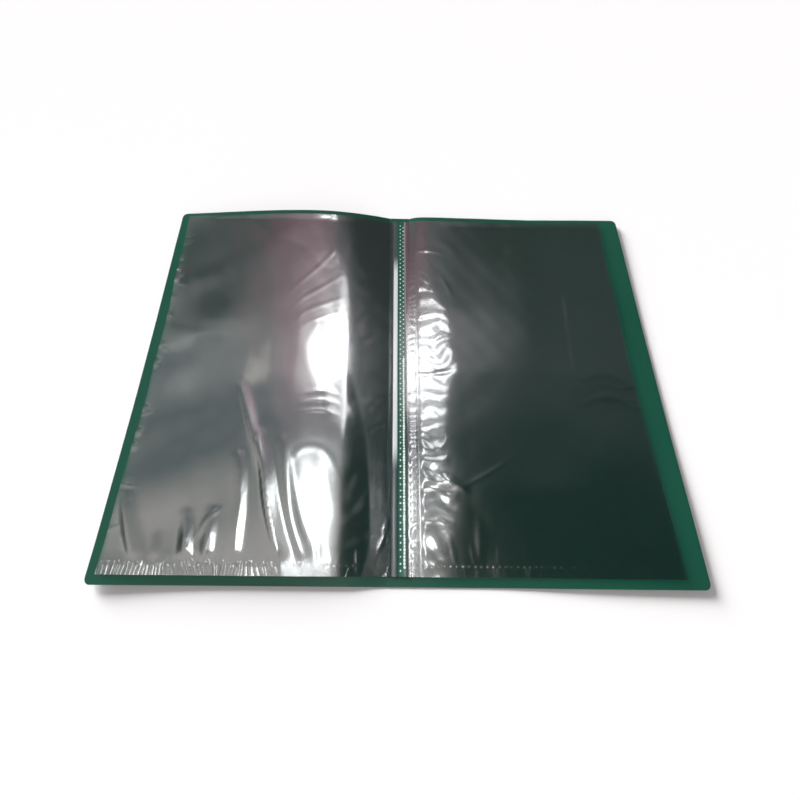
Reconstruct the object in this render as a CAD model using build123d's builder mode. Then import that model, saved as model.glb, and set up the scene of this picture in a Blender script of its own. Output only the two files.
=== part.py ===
import os

from build123d import *

# Clear pocket display book for folio paper, lying open at its middle spread.
# X runs across the open book with the front cover at -X, Y runs up the pages
# and Z stands up from the table. The origin is under the middle of the spine.
# All lengths are in millimetres.

# Cover: one sheet of polypropylene, creased into front panel, spine and back panel
cover_height = 355.0
panel_width = 235.0
spine_width = 22.0
cover_thickness = 0.7
corner_radius = 5.0
crease_gap = 0.1

# Film pockets: the same number lies on each side, all of one size
leaf_count = 5
leaf_width = 229.0
film_thickness = 0.1
pocket_gap = 0.2
leaf_pitch = 1.4
leaf_lift = 0.25
film_foot_margin = 7.0
film_head_margin = 5.5

# Pocket welds: along the gutter, across the foot above a loose skirt, and the folded fore edge
gutter_weld_width = 2.5
foot_weld_width = 1.5
foot_weld_length = 3.2
foot_weld_pitch = 4.9
foot_skirt = 6.5
fold_width = 0.6

# Binding: the film margins lie in steps on the spine and are welded through in two dotted rows
bare_spine = 2.0
margin_step_out = 0.75
margin_step_up = 0.25
margin_thickness = 0.2
root_gap = 0.2
gutter_slope = 9.0
weld_dot_size = 1.5
weld_dot_depth = 0.15
weld_dot_pitch = 4.9
weld_dot_offset = 1.6
weld_dot_end_margin = 3.0

# Places that follow from the sizes above
hinge_x = spine_width / 2 + crease_gap + cover_thickness / 2
seam_half_width = spine_width / 2 - bare_spine - (leaf_count - 1) * margin_step_out
fore_edge_x = spine_width / 2 + panel_width
film_height = cover_height - film_foot_margin - film_head_margin
film_head_y = cover_height / 2 - film_head_margin
film_foot_y = film_head_y - film_height
film_middle_y = (film_head_y + film_foot_y) / 2
seam_top = cover_thickness + leaf_count * margin_step_up
film_section = Plane.XZ.offset(-film_head_y)


def root_x(level):
    # The lowest leaf folds furthest from the middle, and each one above it a step further in
    return seam_half_width + (leaf_count - 1 - level) * margin_step_out


def root_z(level):
    return cover_thickness + (level + 0.5) * margin_step_up


def rear_film_z(level):
    return cover_thickness + leaf_lift + level * leaf_pitch


def make_cover_panel(side):
    # The inner edge is a full round, centred on the crease's axis
    nose = side * hinge_x
    fore_edge = side * fore_edge_x
    with BuildPart() as panel:
        with BuildSketch(Plane.XZ):
            with BuildLine():
                Line((nose, 0), (fore_edge, 0))
                Line((fore_edge, 0), (fore_edge, cover_thickness))
                Line((fore_edge, cover_thickness), (nose, cover_thickness))
                ThreePointArc(
                    (nose, cover_thickness),
                    (nose - side * cover_thickness / 2, cover_thickness / 2),
                    (nose, 0),
                )
            make_face()
        extrude(amount=cover_height / 2, both=True)
        outer_corners = panel.edges().filter_by(Axis.Z).sort_by(Axis.X)
        fillet(outer_corners[:2] if side < 0 else outer_corners[-2:], corner_radius)
    return panel.part


def make_rear_film(side, level):
    # The margin climbs from the seam, where both walls are fused, to the leaf's own height
    root = root_x(level)
    slope_end = root + gutter_slope
    edge = root + leaf_width
    film_z = rear_film_z(level)
    outline = [
        (root, root_z(level) - margin_thickness / 2),
        (slope_end, film_z),
        (edge, film_z),
        (edge, film_z + film_thickness),
        (slope_end, film_z + film_thickness),
        (root, root_z(level) + margin_thickness / 2),
    ]
    with BuildPart() as film:
        with BuildSketch(film_section):
            with BuildLine():
                Polyline(*[(side * x, z) for x, z in outline], close=True)
            make_face()
        extrude(amount=film_height)
    return film.part


def make_front_film(side, level):
    wall_width = leaf_width - gutter_slope
    wall_middle = root_x(level) + gutter_slope + wall_width / 2
    wall_z = rear_film_z(level) + film_thickness + pocket_gap
    with BuildPart() as film:
        with BuildSketch(Plane.XY.offset(wall_z)):
            with Locations((side * wall_middle, film_middle_y)):
                Rectangle(wall_width, film_height)
        extrude(amount=film_thickness)
    return film.part


def make_pocket_weld(side, level):
    # Strips join the two walls along the gutter and the fold, and dashes across the foot; the head is open
    gutter_weld_x = root_x(level) + gutter_slope + gutter_weld_width / 2
    fold_x = root_x(level) + leaf_width - fold_width / 2
    foot_start = gutter_weld_x + gutter_weld_width / 2
    foot_end = fold_x - fold_width / 2
    foot_weld_count = int((foot_end - foot_start - foot_weld_length) // foot_weld_pitch)
    with BuildPart() as weld:
        with BuildSketch(Plane.XY.offset(rear_film_z(level) + film_thickness)):
            with Locations((side * gutter_weld_x, film_middle_y)):
                Rectangle(gutter_weld_width, film_height)
            with Locations((side * fold_x, film_middle_y)):
                Rectangle(fold_width, film_height)
            with Locations((side * (foot_start + foot_end) / 2, film_foot_y + foot_skirt)):
                with GridLocations(foot_weld_pitch, 0, foot_weld_count, 1):
                    Rectangle(foot_weld_length, foot_weld_width)
        extrude(amount=pocket_gap)
    return weld.part


with BuildPart() as front_cover:
    add(make_cover_panel(-1))
front_cover.part.label = "front_cover"

with BuildPart() as back_cover:
    add(make_cover_panel(1))
back_cover.part.label = "back_cover"

with BuildPart() as spine:
    with BuildSketch(Plane.XY):
        Rectangle(spine_width, cover_height)
    extrude(amount=cover_thickness)
spine.part.label = "spine"

# The stepped stack of film margins, with two staggered rows of pressed weld dots on its top
with BuildPart() as binding_strip:
    with BuildSketch(film_section):
        with BuildLine():
            stair = [(0, cover_thickness)]
            for level in range(leaf_count):
                half_width = root_x(level) - root_gap
                stair.append((half_width, cover_thickness + level * margin_step_up))
                stair.append((half_width, cover_thickness + (level + 1) * margin_step_up))
            stair.append((0, seam_top))
            Polyline(*stair)
            mirror(about=Plane.YZ)
        make_face()
    extrude(amount=film_height)
    dot_count = int((film_height - 2 * weld_dot_end_margin) // weld_dot_pitch)
    with BuildSketch(Plane.XY.offset(seam_top)):
        for row in (-1, 1):
            with Locations((row * weld_dot_offset, film_middle_y + row * weld_dot_pitch / 4)):
                with GridLocations(0, weld_dot_pitch, 1, dot_count):
                    Rectangle(weld_dot_size, weld_dot_size, rotation=45)
    extrude(amount=-weld_dot_depth, mode=Mode.SUBTRACT)
binding_strip.part.label = "binding_strip"

os.makedirs("parts", exist_ok=True)
for piece in (front_cover.part, spine.part, back_cover.part, binding_strip.part):
    export_step(piece, f"parts/{piece.label}.step")

# Pocket 1 is the one on top, on both sides
for page, side in (("left", -1), ("right", 1)):
    for level in range(leaf_count):
        pocket = f"{page}_pocket_{leaf_count - level}"
        walls = {
            "front_film": make_front_film(side, level),
            "weld": make_pocket_weld(side, level),
            "rear_film": make_rear_film(side, level),
        }
        for wall, part in walls.items():
            part.label = f"{pocket}_{wall}"
            export_step(part, f"parts/{part.label}.step")
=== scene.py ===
import math
import random

import bpy
import numpy as np
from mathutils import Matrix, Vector


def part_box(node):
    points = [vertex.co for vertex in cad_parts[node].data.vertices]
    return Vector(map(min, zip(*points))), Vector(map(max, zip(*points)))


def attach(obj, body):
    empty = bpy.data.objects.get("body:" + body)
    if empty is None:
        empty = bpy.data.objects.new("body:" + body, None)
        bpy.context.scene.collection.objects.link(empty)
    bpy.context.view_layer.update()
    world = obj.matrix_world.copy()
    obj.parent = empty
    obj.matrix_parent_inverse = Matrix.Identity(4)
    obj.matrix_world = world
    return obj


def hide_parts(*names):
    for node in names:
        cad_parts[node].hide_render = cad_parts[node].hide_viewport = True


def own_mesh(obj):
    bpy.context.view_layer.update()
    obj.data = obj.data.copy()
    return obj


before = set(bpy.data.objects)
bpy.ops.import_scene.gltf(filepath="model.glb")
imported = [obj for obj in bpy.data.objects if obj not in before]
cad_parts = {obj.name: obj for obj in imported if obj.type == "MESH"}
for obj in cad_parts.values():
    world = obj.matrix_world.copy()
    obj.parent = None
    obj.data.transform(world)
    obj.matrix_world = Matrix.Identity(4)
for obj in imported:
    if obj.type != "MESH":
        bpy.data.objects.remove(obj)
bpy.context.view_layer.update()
mm = 0.001
print("frame loaded:", len(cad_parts), "solids")


# small helpers for the shapes
def fade(low, high, value):
    share = np.clip((value - low) / (high - low), 0, 1)
    return share * share * (3 - 2 * share)


def hump(value, middle, reach):
    return np.exp(-(((value - middle) / reach) ** 2))


def zigzag(turns):
    return 2 * np.abs(2 * (turns - np.floor(turns + 0.5))) - 1


def readPoints(piece):
    points = np.empty(len(piece.data.vertices) * 3)
    piece.data.vertices.foreach_get("co", points)
    return points.reshape(-1, 3)


def writePoints(piece, points):
    piece.data.vertices.foreach_set("co", points.astype(np.float32).ravel())
    piece.data.update()


def applyModifier(piece, kind, **values):
    bpy.ops.object.select_all(action="DESELECT")
    bpy.context.view_layer.objects.active = piece
    piece.select_set(True)
    modifier = piece.modifiers.new(kind.title(), kind)
    for name, value in values.items():
        setattr(modifier, name, value)
    bpy.ops.object.modifier_apply(modifier=modifier.name)


def smoothFaces(piece, angle):
    bpy.ops.object.select_all(action="DESELECT")
    bpy.context.view_layer.objects.active = piece
    piece.select_set(True)
    bpy.ops.object.shade_smooth_by_angle(angle=math.radians(angle))


def slowWaves(seed, u, y, count, shortest, longest, height):
    draw = random.Random(seed)
    total = np.zeros_like(u)
    for wave in range(count):
        length = draw.uniform(shortest, longest)
        turn = draw.uniform(0, math.pi)
        start = draw.uniform(0, 2 * math.pi)
        total += np.sin((u * math.cos(turn) + y * math.sin(turn)) * 2 * math.pi / length + start)
    return total * height / math.sqrt(count)


# materials
def newMaterial(name):
    material = bpy.data.materials.new(name)
    material.use_nodes = True
    nodes = material.node_tree.nodes
    return material, nodes, material.node_tree.links, nodes["Principled BSDF"]


def mathNode(nodes, links, operation, first, second):
    node = nodes.new("ShaderNodeMath")
    node.operation = operation
    for socket, value in zip(node.inputs, (first, second)):
        if isinstance(value, (int, float)):
            socket.default_value = value
        else:
            links.new(value, socket)
    return node.outputs[0]


def stepNode(nodes, links, value, start, end, top):
    node = nodes.new("ShaderNodeMapRange")
    node.interpolation_type = "SMOOTHSTEP"
    node.inputs["From Min"].default_value = start
    node.inputs["From Max"].default_value = end
    node.inputs["To Max"].default_value = top
    links.new(value, node.inputs["Value"])
    return node.outputs["Result"]


def mixNode(nodes, links, share, first, second):
    node = nodes.new("ShaderNodeMix")
    node.data_type = "RGBA"
    links.new(share, node.inputs["Factor"])
    for socket, value in ((node.inputs["A"], first), (node.inputs["B"], second)):
        if isinstance(value, tuple):
            socket.default_value = (*value, 1)
        else:
            links.new(value, socket)
    return node.outputs["Result"]


def makeCloudGroup():
    # soft clouds over a surface: a value, and a tone between two colours
    group = bpy.data.node_groups.new("cloudyTone", "ShaderNodeTree")
    for name, way, kind in (
        ("Scale", "INPUT", "NodeSocketFloat"),
        ("Detail", "INPUT", "NodeSocketFloat"),
        ("First Tone", "INPUT", "NodeSocketColor"),
        ("Second Tone", "INPUT", "NodeSocketColor"),
        ("Tone", "OUTPUT", "NodeSocketColor"),
        ("Cloud", "OUTPUT", "NodeSocketFloat"),
    ):
        group.interface.new_socket(name=name, in_out=way, socket_type=kind)
    nodes, links = group.nodes, group.links
    given = nodes.new("NodeGroupInput")
    result = nodes.new("NodeGroupOutput")
    place = nodes.new("ShaderNodeTexCoord")
    noise = nodes.new("ShaderNodeTexNoise")
    links.new(place.outputs["Object"], noise.inputs["Vector"])
    links.new(given.outputs["Scale"], noise.inputs["Scale"])
    links.new(given.outputs["Detail"], noise.inputs["Detail"])
    tone = mixNode(nodes, links, noise.outputs["Fac"], given.outputs["First Tone"], given.outputs["Second Tone"])
    links.new(tone, result.inputs["Tone"])
    links.new(noise.outputs["Fac"], result.inputs["Cloud"])
    return group


cloudGroup = makeCloudGroup()


def addClouds(nodes, scale, detail, first=(1, 1, 1), second=(1, 1, 1)):
    node = nodes.new("ShaderNodeGroup")
    node.node_tree = cloudGroup
    node.inputs["Scale"].default_value = scale
    node.inputs["Detail"].default_value = detail
    node.inputs["First Tone"].default_value = (*first, 1)
    node.inputs["Second Tone"].default_value = (*second, 1)
    return node


coverSheet = {
    "green": (0.0053, 0.0761, 0.0459),
    "paleGreen": (0.0175, 0.0886, 0.0581),
    "cloudScale": 9,
    "cloudDetail": 4,
    "roughness": (0.24, 0.38),
    "shine": 0.45,
    "grainScale": 1400,
    "grainDetail": 2,
    "grainStrength": 0.12,
    "grainDepth": 0.0002,
}


def makeCoverMaterial():
    material, nodes, links, shader = newMaterial("greenCoverSheet")
    place = nodes.new("ShaderNodeTexCoord")
    cloud = addClouds(
        nodes, coverSheet["cloudScale"], coverSheet["cloudDetail"], coverSheet["green"], coverSheet["paleGreen"]
    )
    grain = nodes.new("ShaderNodeTexNoise")
    grain.inputs["Scale"].default_value = coverSheet["grainScale"]
    grain.inputs["Detail"].default_value = coverSheet["grainDetail"]
    bump = nodes.new("ShaderNodeBump")
    bump.inputs["Strength"].default_value = coverSheet["grainStrength"]
    bump.inputs["Distance"].default_value = coverSheet["grainDepth"]
    shader.inputs["Specular IOR Level"].default_value = coverSheet["shine"]
    gloss = nodes.new("ShaderNodeMapRange")
    gloss.inputs["To Min"].default_value, gloss.inputs["To Max"].default_value = coverSheet["roughness"]
    links.new(place.outputs["Object"], grain.inputs["Vector"])
    links.new(cloud.outputs["Cloud"], gloss.inputs["Value"])
    links.new(cloud.outputs["Tone"], shader.inputs["Base Color"])
    links.new(gloss.outputs["Result"], shader.inputs["Roughness"])
    links.new(grain.outputs["Fac"], bump.inputs["Height"])
    links.new(bump.outputs["Normal"], shader.inputs["Normal"])
    return material


filmLook = {
    "tint": (0.93, 0.95, 0.96),
    "headOn": 0.09,
    "edgePower": 5,
    "roughness": 0.06,
    "lowerRoughness": 0.078,
    "hazeScale": 14,
    "hazeDetail": 5,
    "hazeSpread": (0.6, 1.5),
    "lightThrough": 0.7,
}


def makeFilmMaterial(name, roughness):
    material, nodes, links, shader = newMaterial(name)
    shader.inputs["Metallic"].default_value = 1
    haze = addClouds(nodes, filmLook["hazeScale"], filmLook["hazeDetail"])
    gloss = nodes.new("ShaderNodeMapRange")
    gloss.inputs["To Min"].default_value = roughness * filmLook["hazeSpread"][0]
    gloss.inputs["To Max"].default_value = roughness * filmLook["hazeSpread"][1]
    tilt = nodes.new("ShaderNodeLayerWeight")
    tilt.inputs["Blend"].default_value = 0.5
    steep = nodes.new("ShaderNodeMath")
    steep.operation = "POWER"
    steep.inputs[1].default_value = filmLook["edgePower"]
    sheen = nodes.new("ShaderNodeMath")
    sheen.operation = "MULTIPLY_ADD"
    sheen.inputs[1].default_value = 1 - filmLook["headOn"]
    sheen.inputs[2].default_value = filmLook["headOn"]
    shader.inputs["Base Color"].default_value = (*filmLook["tint"], 1)
    links.new(haze.outputs["Cloud"], gloss.inputs["Value"])
    links.new(gloss.outputs["Result"], shader.inputs["Roughness"])
    links.new(tilt.outputs["Facing"], steep.inputs[0])
    links.new(steep.outputs[0], sheen.inputs[0])
    path = nodes.new("ShaderNodeLightPath")  # lamp light passes the film more freely than sight does
    lit = mathNode(nodes, links, "MULTIPLY", path.outputs["Is Shadow Ray"], filmLook["lightThrough"])
    seen = mathNode(nodes, links, "SUBTRACT", 1, lit)
    links.new(mathNode(nodes, links, "MULTIPLY", sheen.outputs[0], seen), shader.inputs["Alpha"])
    return material


coverMaterial = makeCoverMaterial()
filmMaterial = makeFilmMaterial("clearFilm", filmLook["roughness"])
lowerFilmMaterial = makeFilmMaterial("clearFilmBelow", filmLook["lowerRoughness"])
print("materials made")

# how the open cover lies: heights in mm over the table, u out from the spine, y up the page
coverLie = {
    "creaseAt": 12.0,
    "halfHeight": 177.5,
    "thickness": 0.7,
    "cornerRadius": 5,
    "cornerSteps": 6,
    "cutsOut": (15, 244, 4.5),
    "cutsUp": (-170, 172, 10),
    "left": {"crest": 13.8, "power": 1.8, "headCrestAt": 98, "footCrestAt": 70, "fallTo": 246, "rise": 0.9},
    "right": {"crest": 3.8, "power": 4.5, "headCrestAt": 28, "footCrestAt": 50, "fallTo": 150, "rise": 0.6},
    "corners": {"left": (3.5, 2.0), "right": (1.0, 1.6)},
    "footRise": {"left": 2.0, "right": 0.8},
    "foreRise": {"left": 0.0, "right": 2.1},
}


def coverLift(page, u, y):
    lie = coverLie[page]
    up = np.clip((y + coverLie["halfHeight"]) / (2 * coverLie["halfHeight"]), 0, 1)
    crestAt = lie["footCrestAt"] + (lie["headCrestAt"] - lie["footCrestAt"]) * fade(0.35, 1, up)
    inner = np.clip((u - coverLie["creaseAt"]) / (crestAt - coverLie["creaseAt"]), 0, 1)
    outer = np.clip((u - crestAt) / (lie["fallTo"] - crestAt), 0, 1)
    innerShape = np.sin(math.pi / 2 * inner) ** lie["rise"]
    outerShape = np.cos(math.pi / 2 * outer) ** 1.2
    shape = np.where(u < crestAt, innerShape, outerShape)
    footCorner, headCorner = coverLie["corners"][page]
    curl = fade(120, 260, u) ** 1.5
    corner = curl * (footCorner * fade(0.45, 0, up) + headCorner * fade(0.55, 1, up))
    if page == "left":
        footRise = coverLie["footRise"][page] * fade(10, 50, u) * np.clip((0.14 - up) / 0.14, 0, 1) ** 2
    else:
        footRise = coverLie["footRise"][page] * fade(70, 160, u) * fade(0.36, 0.08, up)
    foreRise = coverLie["foreRise"][page] * fade(60, 200, u)
    return lie["crest"] * up ** lie["power"] * shape + corner + footRise + foreRise


def addPanel(page, node):
    low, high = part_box(node)
    side = -1 if page == "left" else 1
    middle = (low + high) / 2
    bpy.ops.object.select_all(action="DESELECT")
    bpy.ops.mesh.primitive_cube_add(size=1, location=middle, scale=high - low)
    panel = bpy.context.object
    panel.name = panel.data.name = node + "Sheet"
    bpy.ops.object.transform_apply(location=True, rotation=False, scale=True)
    bpy.ops.object.mode_set(mode="EDIT")
    bpy.ops.mesh.select_mode(type="EDGE")
    bpy.ops.mesh.select_all(action="DESELECT")
    bpy.ops.object.mode_set(mode="OBJECT")
    points = readPoints(panel)
    for edge in panel.data.edges:  # the two upright edges at the outer corners
        ends = points[list(edge.vertices)]
        upright = abs(ends[0][2] - ends[1][2]) > 0.0001
        edge.select = bool(upright and ends[0][0] * side > 0.1)
    bpy.ops.object.mode_set(mode="EDIT")
    bpy.ops.mesh.bevel(offset=coverLie["cornerRadius"] * mm, segments=coverLie["cornerSteps"], affect="EDGES")
    for x in np.arange(*coverLie["cutsOut"]):
        bpy.ops.mesh.select_all(action="SELECT")
        bpy.ops.mesh.bisect(plane_co=(side * x * mm, 0, 0), plane_no=(1, 0, 0))
    for y in np.arange(*coverLie["cutsUp"]):
        bpy.ops.mesh.select_all(action="SELECT")
        bpy.ops.mesh.bisect(plane_co=(0, y * mm, 0), plane_no=(0, 1, 0))
    bpy.ops.object.mode_set(mode="OBJECT")
    points = readPoints(panel)
    points[:, 2] += coverLift(page, points[:, 0] * side / mm, points[:, 1] / mm) * mm
    writePoints(panel, points)
    smoothFaces(panel, 35)
    panel.data.materials.append(coverMaterial)
    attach(panel, node)
    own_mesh(panel)
    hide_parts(node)


addPanel("left", "front_cover")
addPanel("right", "back_cover")
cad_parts["spine"].data.materials.clear()
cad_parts["spine"].data.materials.append(coverMaterial)
print("cover panels bowed")

# the pockets, sizes in mm
pocketStack = {
    "count": 5,
    "seamHalfWidth": 6.0,
    "stepOut": 0.75,
    "stepUp": 0.25,
    "topRootZ": 1.825,
    "mostGap": 0.7,
    "foot": -170.5,
    "head": 172.0,
    "footWeld": -163.0,
    "skirtTop": -158.5,
}

# how the upper film lies, heights and places in mm, u out from the spine and y up the page
leftFilm = {
    "kinkAt": [(-168, 50), (70, 50), (172, 58)],
    "kinkSoft": 1.8,
    "stripSlope": [(-168, 0.113), (-60, 0.116), (0, 0.121), (90, 0.15), (172, 0.19)],
    "poolSlope": [(-168, 0.05), (0, 0.054), (100, 0.062), (172, 0.084)],
    "crestAt": 99,
    "crestSoft": [(-168, 6), (40, 10), (110, 18), (172, 24)],
    "overEdge": 3.6,
    "waves": 0.28,
    "edge": [(-168, 238), (-100, 236.5), (-52, 235), (46, 235), (116, 236), (172, 237)],
    # each fold: its width to the spine side and to the outer side, its height, and the points it runs through
    "folds": [
        (8.0, 3.5, 0.9, (150, -18), (141, -40), (131, -66), (124, -90)),
        (13.0, 4.0, 1.45, (126, -70), (118, -95), (113, -118), (105, -140), (97, -161), (92, -176)),
        (10.0, 7.0, 0.5, (105, -70), (98, -102), (90, -133), (79, -154), (70, -172)),
        (8.0, 9.0, 1.15, (139, -84), (134, -118), (134, -140), (132, -176)),
        (8.0, 8.0, 1.3, (155, -128), (155, -150), (156, -176)),
        (8.0, 8.0, 1.5, (176, -130), (171, -155), (169, -176)),
        (3.0, 3.0, 0.35, (164, -144), (159, -130), (148, -123)),
        (12.0, 4.0, 0.9, (231, -120), (221, -145), (207, -168)),
        (6.0, 5.0, 0.7, (197, -146), (194, -176)),
        (4.0, 4.0, 0.08, (112, 78), (100, 92), (80, 112), (62, 143)),
        (3.5, 3.5, 0.07, (108, 60), (100, 70), (84, 80), (60, 98)),
        (3.5, 3.5, 0.07, (105, 44), (98, 54), (82, 62), (58, 72)),
        (2.6, 2.6, 0.05, (100, 34), (94, 43), (78, 50), (57, 57)),
        (3.0, 3.0, 0.06, (57, -28), (72, -23), (92, -27)),
        (2.8, 2.8, 0.07, (57, -36), (72, -32), (92, -36)),
        (2.8, 2.8, 0.07, (57, -46), (73, -41), (95, -45)),
        (1.6, 1.6, 0.5, (12, -141), (18, -152)),
        (1.6, 1.6, 0.4, (10, -131), (14, -139)),
        (1.5, 1.5, 0.4, (9, -160), (11, -173)),
        (5.0, 5.0, 0.06, (54, -96), (63, -79), (77, -73), (89, -76), (96, -88)),
        (9.0, 12.0, 0.08, (234, 40), (206, 30), (176, 34), (158, 22)),
    ],
}
rightFilm = {
    "bandSoft": 2.0,
    "bandSlope": [
        (-170, 0.003), (-60, 0.003), (-35, 0.0), (20, 0.0), (61, 0.012), (95, 0.02), (140, 0.03), (172, 0.05),
    ],
    "bandBend": 0.00055,
    "overEdge": 3.8,
    "waves": 0.2,
    "edge": [(-168, 228), (-113, 227), (-50, 224), (40, 224), (122, 223.5), (172, 226)],
    # where the crumpled band beside the seam ends
    "band": [
        (-168, 34), (-150, 38), (-131, 45), (-106, 51), (-92, 44), (-67, 41), (-31, 43), (-14, 48),
        (1, 54), (14, 51), (37, 49), (61, 48), (92, 33), (124, 15), (172, 13),
    ],
    "folds": [
        (3.0, 3.0, -0.3, (17, -6), (32, -5), (54, -1)),
        (4.0, 4.0, 0.3, (30, -92), (44, -100), (58, -107)),
        (3.0, 3.0, 0.16, (13, 132), (27, 134), (38, 133), (48, 129)),
        (4.0, 4.0, 0.1, (42, 104), (49, 92), (55, 76)),
        (8.0, 6.0, 0.07, (28, 150), (58, 140), (70, 112)),
        (1.6, 1.6, 0.18, (54, -104), (76, -94), (98, -81)),
        (5.0, 6.0, 0.07, (66, -132), (64, -168)),
        (3.0, 9.0, 0.14, (180, 170), (171, 74), (169, 8), (168, -52)),
        (5.0, 5.0, 0.15, (172, 22), (196, 30), (219, 24)),
        (5.0, 5.0, 0.16, (173, -8), (200, 0), (220, -14)),
        (5.0, 5.0, 0.16, (170, -32), (198, -22), (220, -36)),
        (5.0, 5.0, 0.14, (168, -52), (180, -90), (186, -128)),
    ],
}


def softLimit(value, limit, soft):
    return limit - soft * np.logaddexp(0, (limit - value) / soft)


def smoothTable(points, y, reach):
    places, values = zip(*points)
    return sum(np.interp(y + step * reach, places, values) for step in (-1, -0.5, 0, 0.5, 1)) / 5


def tent(share):
    return np.where(share < 1, (1 - share) * (1 - 0.35 * share * (1 - share)), 0)


def mound(share):
    return np.cos(math.pi / 2 * np.clip(share, 0, 1)) ** 2


def roundedPath(points):
    for turn in range(2):
        cut = []
        for a, b in zip(points, points[1:]):
            for share in (0.25, 0.75):
                cut.append((a[0] * (1 - share) + b[0] * share, a[1] * (1 - share) + b[1] * share))
        points = [points[0]] + cut + [points[-1]]
    return points


def foldHeight(u, y, fold):
    spineReach, outerReach, height, *points = fold
    points = roundedPath(points)
    nearest = np.full_like(u, 1e9)
    along = np.zeros_like(u)
    outside = np.zeros_like(u)
    lengths = [math.dist(points[i], points[i + 1]) for i in range(len(points) - 1)]
    done = 0
    for (startU, startY), (endU, endY), length in zip(points, points[1:], lengths):
        share = np.clip(((u - startU) * (endU - startU) + (y - startY) * (endY - startY)) / length**2, 0, 1)
        gapU = u - startU - share * (endU - startU)
        gapY = y - startY - share * (endY - startY)
        away = np.hypot(gapU, gapY)
        closer = away < nearest
        turn = np.sign(gapU * (startY - endY) + gapY * (endU - startU))
        along = np.where(closer, (done + share * length) / sum(lengths), along)
        outside = np.where(closer, turn, outside)
        nearest = np.minimum(nearest, away)
        done += length
    reach = np.where(outside > 0, outerReach, spineReach)
    profile = tent if abs(height) > 0.6 else mound
    return height * profile(nearest / reach) * np.sin(math.pi * np.clip(along * 0.9 + 0.08, 0, 1)) ** 0.7


def crumple(seed, u, y, count, shortest, longest, lean):
    draw = random.Random(seed)
    bentU = u + slowWaves(seed + 1, u, y, 5, 18, 50, 3.0)
    bentY = y + slowWaves(seed + 2, u, y, 5, 18, 50, 3.0)
    total = np.zeros_like(u)
    for crease in range(count):
        length = draw.uniform(shortest, longest)
        turn = math.pi / 2 + draw.uniform(-lean, lean)
        total += length * zigzag((bentU * math.cos(turn) + bentY * math.sin(turn)) / length + draw.random())
    return total / count


def leftTop(u, y):
    lie = leftFilm
    rootU, rootZ = pocketStack["seamHalfWidth"], pocketStack["topRootZ"]
    kinkAt = smoothTable(lie["kinkAt"], y, 20)
    strip = smoothTable(lie["stripSlope"], y, 30)
    pool = smoothTable(lie["poolSlope"], y, 30)
    kink = softLimit(u, kinkAt, lie["kinkSoft"])
    crest = softLimit(u, lie["crestAt"], smoothTable(lie["crestSoft"], y, 30))
    crestHeight = rootZ + strip * (kinkAt - rootU) + pool * (lie["crestAt"] - kinkAt)
    edgeHeight = coverLift("left", np.full_like(u, 235.0), y) + lie["overEdge"]
    fall = (crestHeight - edgeHeight) * np.clip((u - 100) / 135, 0, 1) ** 1.25
    return rootZ + strip * (kink - rootU) + pool * (crest - kink) - fall


def rightTop(u, y):
    lie = rightFilm
    rootU, rootZ = pocketStack["seamHalfWidth"], pocketStack["topRootZ"]
    bandTo = smoothTable(lie["band"], y, 6)
    slope = smoothTable(lie["bandSlope"], y, 12)
    edgeHeight = coverLift("right", np.full_like(u, 235.0), y) + lie["overEdge"]
    out = softLimit(u, bandTo, lie["bandSoft"])
    rise = rootZ + slope * (bandTo - rootU) + lie["bandBend"] * (bandTo**2 - rootU**2)
    fall = (rise - edgeHeight) * np.clip((u - 60) / 175, 0, 1) ** 1.3
    return rootZ + slope * (out - rootU) + lie["bandBend"] * (out**2 - rootU**2) - fall


def topHeight(page, u, y):
    height = leftTop(u, y) if page == "left" else rightTop(u, y)
    over = coverLift(page, u, y) + coverLie["thickness"] + fade(9, 20, u)
    return np.maximum(height, over) + 0.2 * hump(height - over, 0, 0.6)


def pillows(u, y, pitch, seed):
    bent = y + slowWaves(seed, u, y, 5, 25, 70, 3.5) + slowWaves(seed + 1, u, y, 4, 12, 30, 0.8)
    return 0.5 - 0.5 * np.cos(2 * math.pi * bent / pitch)


def gutterCrumple(page, u, y):
    if page == "left":
        strip = fade(8, 14, u) * fade(50, 38, u)
        height = crumple(61, u, y, 5, 14, 30, 1.2) * 0.012 * strip
        foot = fade(8, 11, u) * fade(34, 14, u) * fade(-95, -140, y)
        return height + crumple(63, u, y, 5, 9, 18, 1.2) * 0.03 * foot
    bandTo = smoothTable(rightFilm["band"], y, 6)
    nearSeam = fade(7.5, 10, u) * fade(17, 14, u) * fade(160, 120, y)
    middle = fade(16.5, 21, u) * fade(bandTo + 3, bandTo - 8, u) * fade(125, 95, y)
    strength = 0.5 + 0.35 * fade(-30, -90, y) + 0.1 * fade(40, 80, y)
    height = pillows(u, y, 6.6, 91) * (0.3 - 0.16 * fade(30, 60, y)) * nearSeam * strength
    height += pillows(u, y, 13, 93) * 0.4 * middle * strength
    height += crumple(81, u, y, 6, 9, 22, 0.9) * 0.022 * middle * strength
    return height - 0.14 * hump(u, 16.6, 1.1) * fade(140, 110, y)


def sharedFolds(page, u, y):
    lie = leftFilm if page == "left" else rightFilm
    seed = 20 if page == "left" else 40
    height = slowWaves(seed, u, y, 7, 50, 150, lie["waves"])
    height = height * (0.3 + 0.7 * fade(100, 140, u)) * fade(14, 45, u)
    for fold in lie["folds"]:
        height += foldHeight(u, y, fold)
    return height


def ownWrinkles(page, u, y):
    seed, size = (22, 0.07) if page == "left" else (42, 0.045)
    height = slowWaves(seed, u, y, 8, 18, 44, size) * fade(14, 45, u)
    return height + gutterCrumple(page, u, y)


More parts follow.
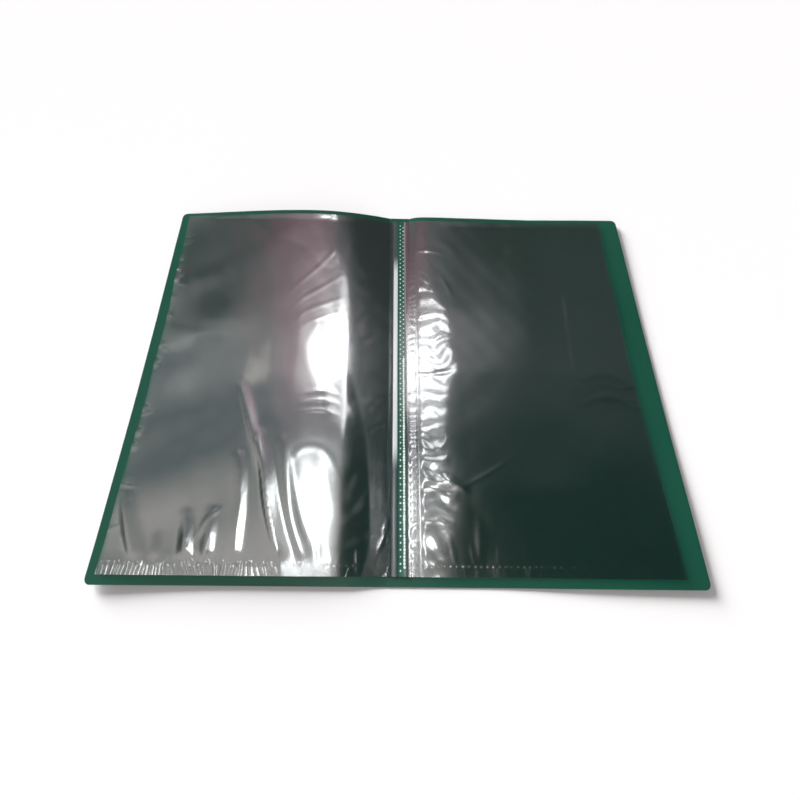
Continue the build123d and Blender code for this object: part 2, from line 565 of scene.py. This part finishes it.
def footAndEdge(page, u, y):
    # puckers up from the foot weld, short crinkles at the folded fore edge, the open mouth at the head
    lie = leftFilm if page == "left" else rightFilm
    weldY = pocketStack["footWeld"]
    height = np.zeros_like(u)
    calm = 1.0 if page == "left" else 0.35
    draw = random.Random(5 if page == "left" else 6)
    for count in range(16):
        foot = draw.uniform(20, 233)
        length = draw.uniform(6, 24)
        lean = draw.uniform(-0.35, 0.35)
        reach = draw.uniform(2.5, 4.0)
        start, end = (foot, weldY - 9), (foot + lean * length, weldY + length)
        height += foldHeight(u, y, (reach, reach, calm * draw.uniform(0.1, 0.4), start, end))
    fore = np.interp(y, *zip(*lie["edge"]))
    for count in range(9):
        at = draw.uniform(-150, 150)
        length = draw.uniform(5, 15)
        tilt = draw.uniform(-5, 5)
        out = float(np.interp(at, *zip(*lie["edge"])))
        start, end = (out + 1, at), (out - length, at + tilt)
        height += foldHeight(u, y, (draw.uniform(1.6, 2.6), 2.0, draw.uniform(0.2, 0.5), start, end))
    for count in range(12 if page == "left" else 0):  # small lifted places along the fold
        at = draw.uniform(-20, 125) if count < 9 else draw.uniform(-140, -20)
        lift = draw.uniform(0.7, 1.3)
        lift = lift * fade(fore - draw.uniform(4, 7), fore + 1, u)
        height += lift * hump(y, at, draw.uniform(1.8, 4))
    return height + 0.5 * fade(164, 173, y) * fade(30, 70, u) * fade(fore - 4, fore - 40, u)


footSkirt = {
    "teeth": (2.0, 4.4),
    "climbShare": 0.84,
    "unevenness": {"left": 0.02, "right": 0.014},
    "slant": 0.45,
    "lampLean": 0.0011,
    "drop": 0.15,
    "weldPitch": 4.9,
}


def skirtTeeth(page, u, y):
    # the loose strip below the weld: saw-like crinkles, and the dashes of the weld itself
    weldY = pocketStack["footWeld"]
    draw = random.Random(31 if page == "left" else 32)
    bent = u + (y - weldY) * slowWaves(33, u, y * 0, 5, 12, 50, footSkirt["slant"])
    teeth = np.zeros_like(u)
    climbShare = footSkirt["climbShare"]
    start = 8.0
    while start < 242:
        pitch = draw.uniform(*footSkirt["teeth"])
        slope = 0.012
        if page == "left":
            slope = footSkirt["lampLean"] * (start - 30) + 0.035 * fade(90, 120, start)
        rise = (slope + draw.uniform(-1, 1) * footSkirt["unevenness"][page]) * pitch * climbShare
        share = (bent - start) / pitch
        inside = (share >= 0) & (share < 1)
        top = pocketStack["skirtTop"] - draw.uniform(0, 3.5)
        climb = share / climbShare
        climb = climb + 0.4 * (climb**2 - climb)  # steeper towards its tip
        tooth = rise * np.minimum(climb, (1 - share) / (1 - climbShare)) * fade(top, top - 2.5, y)
        teeth += np.where(inside, tooth, 0)
        start += pitch
    dash = 0.5 + 0.5 * np.cos(2 * math.pi * u / footSkirt["weldPitch"])
    return teeth - footSkirt["drop"] * dash * hump(y, weldY, 0.8)


def leafRoot(level):
    root = pocketStack["seamHalfWidth"] + (pocketStack["count"] - 1 - level) * pocketStack["stepOut"]
    return root, coverLie["thickness"] + (level + 0.5) * pocketStack["stepUp"]


def leafHeight(page, level, u, y):
    root, rootZ = leafRoot(level)
    under = coverLift(page, u, y) + coverLie["thickness"]
    top = topHeight(page, u, y)
    below = pocketStack["count"] - 1 - level
    height = top - below * np.minimum(pocketStack["mostGap"], (top - under) / (pocketStack["count"] - 0.4))
    calm = 1 - 0.75 * fade(-153, -162, y)  # the folds end at the foot weld
    height = np.maximum(height + sharedFolds(page, u, y) * calm, under + 0.2 + 0.2 * level)
    if below == 0:
        height = height + ownWrinkles(page, u, y) + footAndEdge(page, u, y) * calm
    else:
        seed = 100 + level * 10 + (5 if page == "left" else 0)
        height = height + slowWaves(seed, u, y, 8, 25, 110, 0.07) * fade(14, 45, u)
    lift = fade(root - 0.01, root + 4, u)
    return rootZ + (height - rootZ) * lift


def filmEdge(page, level, y):
    lie = leftFilm if page == "left" else rightFilm
    places, ends = zip(*lie["edge"])
    edge = sum(np.interp(y + step, places, ends) for step in (-24, -12, 0, 12, 24)) / 5
    seed = level + (0 if page == "left" else 9)
    return edge + slowWaves(seed, y * 0, y, 4, 60, 200, 0.6) - 0.4 * (4 - level)


def addLeaf(page, level, name, grid, reach, lower, thickness, material, nodes):
    side = -1 if page == "left" else 1
    root, rootZ = leafRoot(level)
    bpy.ops.object.select_all(action="DESELECT")
    bpy.ops.mesh.primitive_grid_add(x_subdivisions=grid[0], y_subdivisions=grid[1], size=2)
    leaf = bpy.context.object
    leaf.name = leaf.data.name = name
    points = readPoints(leaf)
    out = (points[:, 0] * side + 1) / 2
    out = out * (0.72 + 0.28 * out)  # closer rows near the seam
    y = reach[0] + (reach[1] - reach[0]) * (points[:, 1] + 1) / 2
    u = root + (filmEdge(page, level, y) - root) * out
    height = leafHeight(page, level, u, y)
    if name.endswith("Skirt"):
        height = height + skirtTeeth(page, u, y) * fade(root + 1, root + 6, u)
    points[:, 0] = side * u * mm
    points[:, 1] = y * mm
    points[:, 2] = (height - lower) * mm
    writePoints(leaf, points)
    applyModifier(leaf, "SOLIDIFY", thickness=thickness * mm, offset=0)
    smoothFaces(leaf, 50)
    leaf.data.materials.append(material)
    body = f"{page}_leaf_{pocketStack['count'] - level}"
    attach(leaf, body)
    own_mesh(leaf)
    if nodes:
        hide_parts(*nodes)


filmGrids = {"front": (184, 250), "skirt": (800, 24), "rear": (110, 160)}
filmWalls = {"half": 0.12, "thickness": 0.08, "pairThickness": 0.12}  # half the gap between a pocket's two walls
wholePage = (pocketStack["foot"], pocketStack["head"])
abovePart = (pocketStack["skirtTop"], pocketStack["head"])
skirtPart = (pocketStack["foot"], pocketStack["skirtTop"])
half, thin = filmWalls["half"], filmWalls["thickness"]
for page in ("left", "right"):
    for level in range(pocketStack["count"]):
        number = pocketStack["count"] - level
        stem = f"{page}_pocket_{number}"
        walls = [stem + "_front_film", stem + "_weld"]
        rear = [stem + "_rear_film"]
        if number == 1:
            leaves = [
                ("TopPocketFront", filmGrids["front"], abovePart, -half, thin, filmMaterial, walls),
                ("TopPocketSkirt", filmGrids["skirt"], skirtPart, -half, thin, filmMaterial, []),
                ("TopPocketRear", filmGrids["rear"], wholePage, half, thin, lowerFilmMaterial, rear),
            ]
        else:
            thick = filmWalls["pairThickness"]  # below the top pocket the two walls are one sheet
            leaves = [(f"Pocket{number}", filmGrids["rear"], wholePage, 0, thick, lowerFilmMaterial, walls + rear)]
        for name, *settings in leaves:
            addLeaf(page, level, page + name, *settings)
print("pockets laid")

# the welded binding between the pages, sizes in mm
seamBand = {
    "section": [
        (-9.2, 0.72), (-9.0, 0.95), (-7.6, 1.42), (-7.0, 1.72), (-6.8, 1.95),
        (-6.0, 2.01), (-3.2, 2.05), (-2.4, 2.0), (-1.8, 1.84), (-1.2, 1.8),
        (2.3, 1.8), (4.4, 1.8), (4.8, 1.84), (5.2, 1.97), (5.7, 2.0),
        (6.2, 1.95), (6.6, 1.72), (7.6, 1.42), (9.0, 0.95), (9.2, 0.72),
    ],
    "rows": 120,
    "top": 1.8,
    "foot": -170.5,
    "head": 172,
    "weldAt": 1.9,
    "dotOffset": 1.6,
    "dotPitch": 4.9,
    "dotWidth": 1.25,
    "dotHeight": 0.16,
    "dotInset": (0.25, 0.06),
    # the dots' pale green to white is a painted highlight
    "dotGlintTones": ((0.54, 0.82, 0.71), (0.92, 0.95, 0.94)),
    "dotRoughness": 0.3,
    "dotGlintScale": 900,
    "dotGlintDetail": 2,
    "cloudScale": 160,
    "cloudDetail": 3,
    "roughness": 0.14,
    "shine": 0.9,
    "bumpStrength": 0.25,
    "bumpDepth": 0.0002,
    "green": (0.0108, 0.0816, 0.0516),
    "paleGreen": (0.0216, 0.122, 0.0816),
    # painted light beside the weld: reach across from the middle, reach along it, how soft the edges are
    "paintedStripSoft": (0.3, 12),
    "margins": [
        # in order: a painted dark reflection and a painted highlight strip left of the weld, then painted shade
        # low and a painted pinkish reflection high on its right
        {"across": (-12, -2.0), "along": (-200, 200), "tone": (0.054, 0.077, 0.079)},
        {"across": (-6.6, -2.5), "along": (-81, 116), "tone": (0.65, 0.68, 0.68)},
        {"across": (4.6, 12), "along": (-200, -40), "tone": (0.04, 0.06, 0.06)},
        {"across": (4.6, 12), "along": (-40, 200), "tone": (0.25, 0.215, 0.23)},
    ],
}


def between(nodes, links, value, low, high, soft):
    rise = stepNode(nodes, links, value, low - soft, low + soft, 1)
    fall = stepNode(nodes, links, value, high + soft, high - soft, 1)
    return mathNode(nodes, links, "MULTIPLY", rise, fall)


def makeSeamMaterial():
    material, nodes, links, shader = newMaterial("fusedFilmSeam")
    place = nodes.new("ShaderNodeTexCoord")
    cloud = addClouds(
        nodes, seamBand["cloudScale"], seamBand["cloudDetail"], seamBand["green"], seamBand["paleGreen"]
    )
    bump = nodes.new("ShaderNodeBump")
    bump.inputs["Strength"].default_value = seamBand["bumpStrength"]
    bump.inputs["Distance"].default_value = seamBand["bumpDepth"]
    shader.inputs["Roughness"].default_value = seamBand["roughness"]
    shader.inputs["Specular IOR Level"].default_value = seamBand["shine"]
    links.new(cloud.outputs["Cloud"], bump.inputs["Height"])
    axes = nodes.new("ShaderNodeSeparateXYZ")
    links.new(place.outputs["Object"], axes.inputs["Vector"])
    tone = cloud.outputs["Tone"]
    softAcross, softAlong = seamBand["paintedStripSoft"]
    # paint the light beside the weld into the base colour: reflections, a highlight strip and shade
    for margin in seamBand["margins"]:
        left, right = [edge * mm for edge in margin["across"]]
        lower, upper = [edge * mm for edge in margin["along"]]
        across = between(nodes, links, axes.outputs["X"], left, right, softAcross * mm)
        along = between(nodes, links, axes.outputs["Y"], lower, upper, softAlong * mm)
        share = mathNode(nodes, links, "MULTIPLY", across, along)
        tone = mixNode(nodes, links, share, tone, margin["tone"])
    links.new(tone, shader.inputs["Base Color"])
    links.new(bump.outputs["Normal"], shader.inputs["Normal"])
    return material


def makeDotMaterial():
    material, nodes, links, shader = newMaterial("pressedWeldDots")
    # the white of the dots is a painted highlight
    dotGlint = addClouds(nodes, seamBand["dotGlintScale"], seamBand["dotGlintDetail"], *seamBand["dotGlintTones"])
    shader.inputs["Roughness"].default_value = seamBand["dotRoughness"]
    links.new(dotGlint.outputs["Tone"], shader.inputs["Base Color"])
    return material


def addSeamBand():
    section = seamBand["section"]
    spineTop = coverLie["thickness"]
    bpy.ops.object.select_all(action="DESELECT")
    bpy.ops.mesh.primitive_grid_add(x_subdivisions=len(section) - 1, y_subdivisions=seamBand["rows"], size=2)
    band = bpy.context.object
    band.name = band.data.name = "bindingSeam"
    points = readPoints(band)
    column = np.rint((points[:, 0] + 1) / 2 * (len(section) - 1)).astype(int)
    across = np.array(section)
    y = seamBand["foot"] + (seamBand["head"] - seamBand["foot"]) * (points[:, 1] + 1) / 2
    x, z = across[column, 0], across[column, 1]
    loose = fade(3.6, 5, np.abs(x - seamBand["weldAt"]))
    points[:, 0] = (x + loose * slowWaves(51, x * 0, y, 4, 60, 160, 0.25)) * mm
    points[:, 1] = y * mm
    points[:, 2] = (z + loose * fade(0.72, 1.5, z) * slowWaves(52, x, y, 5, 20, 70, 0.05)) * mm
    writePoints(band, points)
    bpy.ops.object.mode_set(mode="EDIT")  # close the band down to the spine
    bpy.ops.mesh.select_mode(type="EDGE")
    bpy.ops.mesh.select_all(action="SELECT")
    bpy.ops.mesh.region_to_loop()
    bpy.ops.mesh.extrude_region_move()
    bpy.ops.object.mode_set(mode="OBJECT")
    points = readPoints(band)
    picked = np.array([vertex.select for vertex in band.data.vertices])
    points[picked, 2] = spineTop * mm
    writePoints(band, points)
    bpy.ops.object.mode_set(mode="EDIT")
    bpy.ops.mesh.edge_face_add()
    bpy.ops.mesh.select_all(action="SELECT")
    bpy.ops.mesh.normals_make_consistent(inside=False)
    bpy.ops.object.mode_set(mode="OBJECT")
    smoothFaces(band, 55)
    band.data.materials.append(makeSeamMaterial())
    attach(band, "spine")
    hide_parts("binding_strip")


def addWeldDots():
    # one pressed dot, a low eight-sided pad, then copies of it in two staggered rows
    radius, depth = seamBand["dotWidth"] / 2 * mm, seamBand["dotHeight"] * mm
    dotZ = (seamBand["top"] + seamBand["dotHeight"] / 2) * mm
    inset, raised = seamBand["dotInset"]
    bpy.ops.object.select_all(action="DESELECT")
    bpy.ops.mesh.primitive_cylinder_add(vertices=8, radius=radius, depth=depth)
    bpy.ops.object.mode_set(mode="EDIT")
    bpy.ops.mesh.select_mode(type="FACE")
    bpy.ops.mesh.select_all(action="DESELECT")
    bpy.ops.object.mode_set(mode="OBJECT")
    first = bpy.context.object
    for face in first.data.polygons:
        face.select = face.normal.z > 0.9
    bpy.ops.object.mode_set(mode="EDIT")
    bpy.ops.mesh.inset(thickness=inset * mm, depth=raised * mm)
    bpy.ops.object.mode_set(mode="OBJECT")
    dots = [first]
    pitch = seamBand["dotPitch"]
    draw = random.Random(17)
    for row in (-1, 1):
        y = seamBand["foot"] + 4 + (row + 1) / 4 * pitch
        while y < seamBand["head"] - 3:
            dot = first.copy()
            dot.data = first.data.copy()
            bpy.context.collection.objects.link(dot)
            close = row > 0 and y < 10  # in its lower half the right row runs together
            x = seamBand["weldAt"] + row * seamBand["dotOffset"] + draw.uniform(-0.12, 0.12)
            dot.location = (x * mm, y * mm, dotZ)
            wide, tall = (1.7, 1.8) if close else (1, 1)
            dot.scale = (draw.uniform(0.75, 1.1) * wide, draw.uniform(0.9, 1.3) * tall, 1)
            dots.append(dot)
            y += pitch * (0.5 if close else 1)
    bpy.data.objects.remove(dots.pop(0))
    bpy.ops.object.select_all(action="DESELECT")
    for dot in dots:
        dot.select_set(True)
    bpy.context.view_layer.objects.active = dots[0]
    bpy.ops.object.join()
    bpy.ops.object.transform_apply(location=True, rotation=True, scale=True)
    rows = bpy.context.object
    rows.name = rows.data.name = "seamWeldDots"
    smoothFaces(rows, 40)
    rows.data.materials.clear()
    rows.data.materials.append(makeDotMaterial())
    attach(rows, "spine")


addSeamBand()
addWeldDots()
print("seam and weld dots made")

# floor, light and camera
floorLook = {"size": 12, "level": -0.0002, "tone": (0.96, 0.96, 0.96), "roughness": 0.9}
bpy.ops.object.select_all(action="DESELECT")
bpy.ops.mesh.primitive_plane_add(size=floorLook["size"], location=(0, 0, floorLook["level"]))
floor = bpy.context.object
floor.name = "floor"
floorMaterial, nodes, links, shader = newMaterial("whiteTable")
shader.inputs["Base Color"].default_value = (*floorLook["tone"], 1)
shader.inputs["Roughness"].default_value = floorLook["roughness"]
shader.inputs["Specular IOR Level"].default_value = 0
floor.data.materials.append(floorMaterial)

lamps = {
    # softness is the sun's angle in degrees, or the width of the lamp in metres
    "key": {"kind": "SUN", "place": (-1.15, 1.07, 0.572), "softness": 27, "power": 6.6, "mirrored": False},
    "frontFill": {"kind": "AREA", "place": (-0.6, -2.2, 1.2), "softness": 1.6, "power": 8, "mirrored": False},
}


def aimAtMiddle(place):
    return (-Vector(place)).to_track_quat("-Z", "Y").to_euler()


for name, lamp in lamps.items():
    place = lamp["place"]
    bpy.ops.object.light_add(type=lamp["kind"], location=place, rotation=aimAtMiddle(place))
    light = bpy.context.object
    light.name = name
    if lamp["kind"] == "SUN":
        light.data.angle = math.radians(lamp["softness"])
    else:
        light.data.size = lamp["softness"]
    light.data.energy = lamp["power"]
    light.visible_glossy = lamp["mirrored"]

world = bpy.data.worlds.new("studio")
bpy.context.scene.world = world
world.use_nodes = True
worldNodes, worldLinks = world.node_tree.nodes, world.node_tree.links
# the room as the film mirrors it, by direction: x to the right, y away from the viewer
room = {
    # each half: its tones from near to far
    "left": [
        (-0.1, (0.6, 0.54, 0.53)),
        (0.02, (0.55, 0.5, 0.49)),
        (0.11, (0.36, 0.34, 0.335)),
        (0.2, (0.165, 0.17, 0.19)),
        (0.306, (0.33, 0.32, 0.325)),
        (0.382, (0.16, 0.155, 0.16)),
        (0.45, (0.11, 0.106, 0.112)),
        (0.53, (0.175, 0.165, 0.17)),
        (0.9, (0.175, 0.16, 0.165)),
    ],
    "right": [
        (-0.1, (0.010, 0.009, 0.012)),
        (0.1, (0.012, 0.012, 0.016)),
        (0.3, (0.055, 0.054, 0.062)),
        (0.5, (0.045, 0.043, 0.046)),
        (0.9, (0.04, 0.038, 0.04)),
    ],
    "turn": (0.02, 0.17),
    "turnLean": 0.1,
    "farLeft": (-0.55, -0.68),
    "dusk": (0.05, 0.048, 0.05),
    "horizon": (0.45, 0.25),
    "horizonTone": (0.62, 0.62, 0.62),
    # each glow or patch: its middle, its reach, where its soft edge starts (0 to 1), its tone,
    # and how much of it covers what is behind
    "patches": [
        ((-0.15, 0.52), (0.3, 0.23), 0.45, (0.215, 0.12, 0.15), 1.0),
        ((-0.43, 0.41), (0.09, 0.05), 0.2, (0.07, 0.068, 0.075), 0.9),
        ((-0.47, 0.29), (0.05, 0.04), 0.2, (0.5, 0.48, 0.48), 0.8),
        ((0.1, 0.36), (0.2, 0.17), 0.0, (0.26, 0.245, 0.26), 0.7),
        ((-0.1, 0.33), (0.32, 0.2), 0.0, (0.64, 0.47, 0.52), 0.9),
        ((-0.03, 0.325), (0.14, 0.125), 0.0, (1.3, 1.2, 1.22), 0.9),
        ((-0.025, 0.305), (0.046, 0.062), 0.4, (5.0, 4.95, 4.95), 1.0),
        ((-0.04, 0.05), (0.15, 0.18), 0.2, (0.98, 0.95, 0.96), 0.9),
        ((-0.03, 0.04), (0.054, 0.15), 0.2, (5.6, 5.6, 5.6), 1.0),
        ((0.05, 0.31), (0.055, 0.14), 0.35, (3.1, 3.05, 3.06), 1.0),
        ((-0.315, 0.28), (0.034, 0.05), 0.5, (0.72, 0.67, 0.64), 0.9),
    ],
}


def roomRamp(stops, value):
    ramp = worldNodes.new("ShaderNodeValToRGB")
    low, high = stops[0][0], stops[-1][0]
    for place, tone in stops[1:-1]:
        ramp.color_ramp.elements.new((place - low) / (high - low))
    for stop, (place, tone) in zip(ramp.color_ramp.elements, stops):
        stop.position = (place - low) / (high - low)
        stop.color = (*tone, 1)
    span = worldNodes.new("ShaderNodeMapRange")
    span.inputs["From Min"].default_value = low
    span.inputs["From Max"].default_value = high
    worldLinks.new(value, span.inputs["Value"])
    worldLinks.new(span.outputs["Result"], ramp.inputs["Fac"])
    return ramp.outputs["Color"]


def roomMath(operation, first, second):
    return mathNode(worldNodes, worldLinks, operation, first, second)


def roomStep(value, start, end, top):
    return stepNode(worldNodes, worldLinks, value, start, end, top)


def roomMix(share, first, second):
    return mixNode(worldNodes, worldLinks, share, first, second)


roomSide = worldNodes.new("ShaderNodeTexCoord")
roomAxes = worldNodes.new("ShaderNodeSeparateXYZ")
worldLinks.new(roomSide.outputs["Generated"], roomAxes.inputs["Vector"])
across, depth = roomAxes.outputs["X"], roomAxes.outputs["Y"]
dusk = roomStep(across, room["farLeft"][1], room["farLeft"][0], 1)
leftTone = roomMix(dusk, room["dusk"], roomRamp(room["left"], depth))
lean = roomMath("SUBTRACT", across, roomMath("MULTIPLY", depth, room["turnLean"]))
roomTone = roomMix(roomStep(lean, *room["turn"], 1), leftTone, roomRamp(room["right"], depth))
for (middleX, middleY), (reachX, reachY), edge, tone, share in room["patches"]:
    awayX = roomMath("DIVIDE", roomMath("SUBTRACT", across, middleX), reachX)
    awayY = roomMath("DIVIDE", roomMath("SUBTRACT", depth, middleY), reachY)
    squares = roomMath("ADD", roomMath("MULTIPLY", awayX, awayX), roomMath("MULTIPLY", awayY, awayY))
    away = roomMath("SQRT", squares, 0)
    roomTone = roomMix(roomStep(away, 1, edge, share), roomTone, tone)
low = roomStep(roomAxes.outputs["Z"], *room["horizon"], 1)  # pale all round, below what the film mirrors
roomTone = roomMix(low, roomTone, room["horizonTone"])
worldLinks.new(roomTone, worldNodes["Background"].inputs["Color"])

view = {
    "eye": (-0.01635, -0.14945, 0.45931),
    "turn": (29.4786, -1.0864, 0.5173),
    "lens": 21.9909,
    "shift": (0.01157, -0.1625),
}
bpy.ops.object.camera_add(location=view["eye"], rotation=[math.radians(angle) for angle in view["turn"]])
camera = bpy.context.object
camera.data.sensor_width = 36
camera.data.lens = view["lens"]
camera.data.shift_x, camera.data.shift_y = view["shift"]
camera.data.clip_start = 0.01
bpy.context.scene.camera = camera
bpy.context.scene.view_settings.view_transform = "Standard"
bpy.context.scene.cycles.transparent_max_bounces = 64  # enough for all the film layers
print("floor, lamps and camera placed")
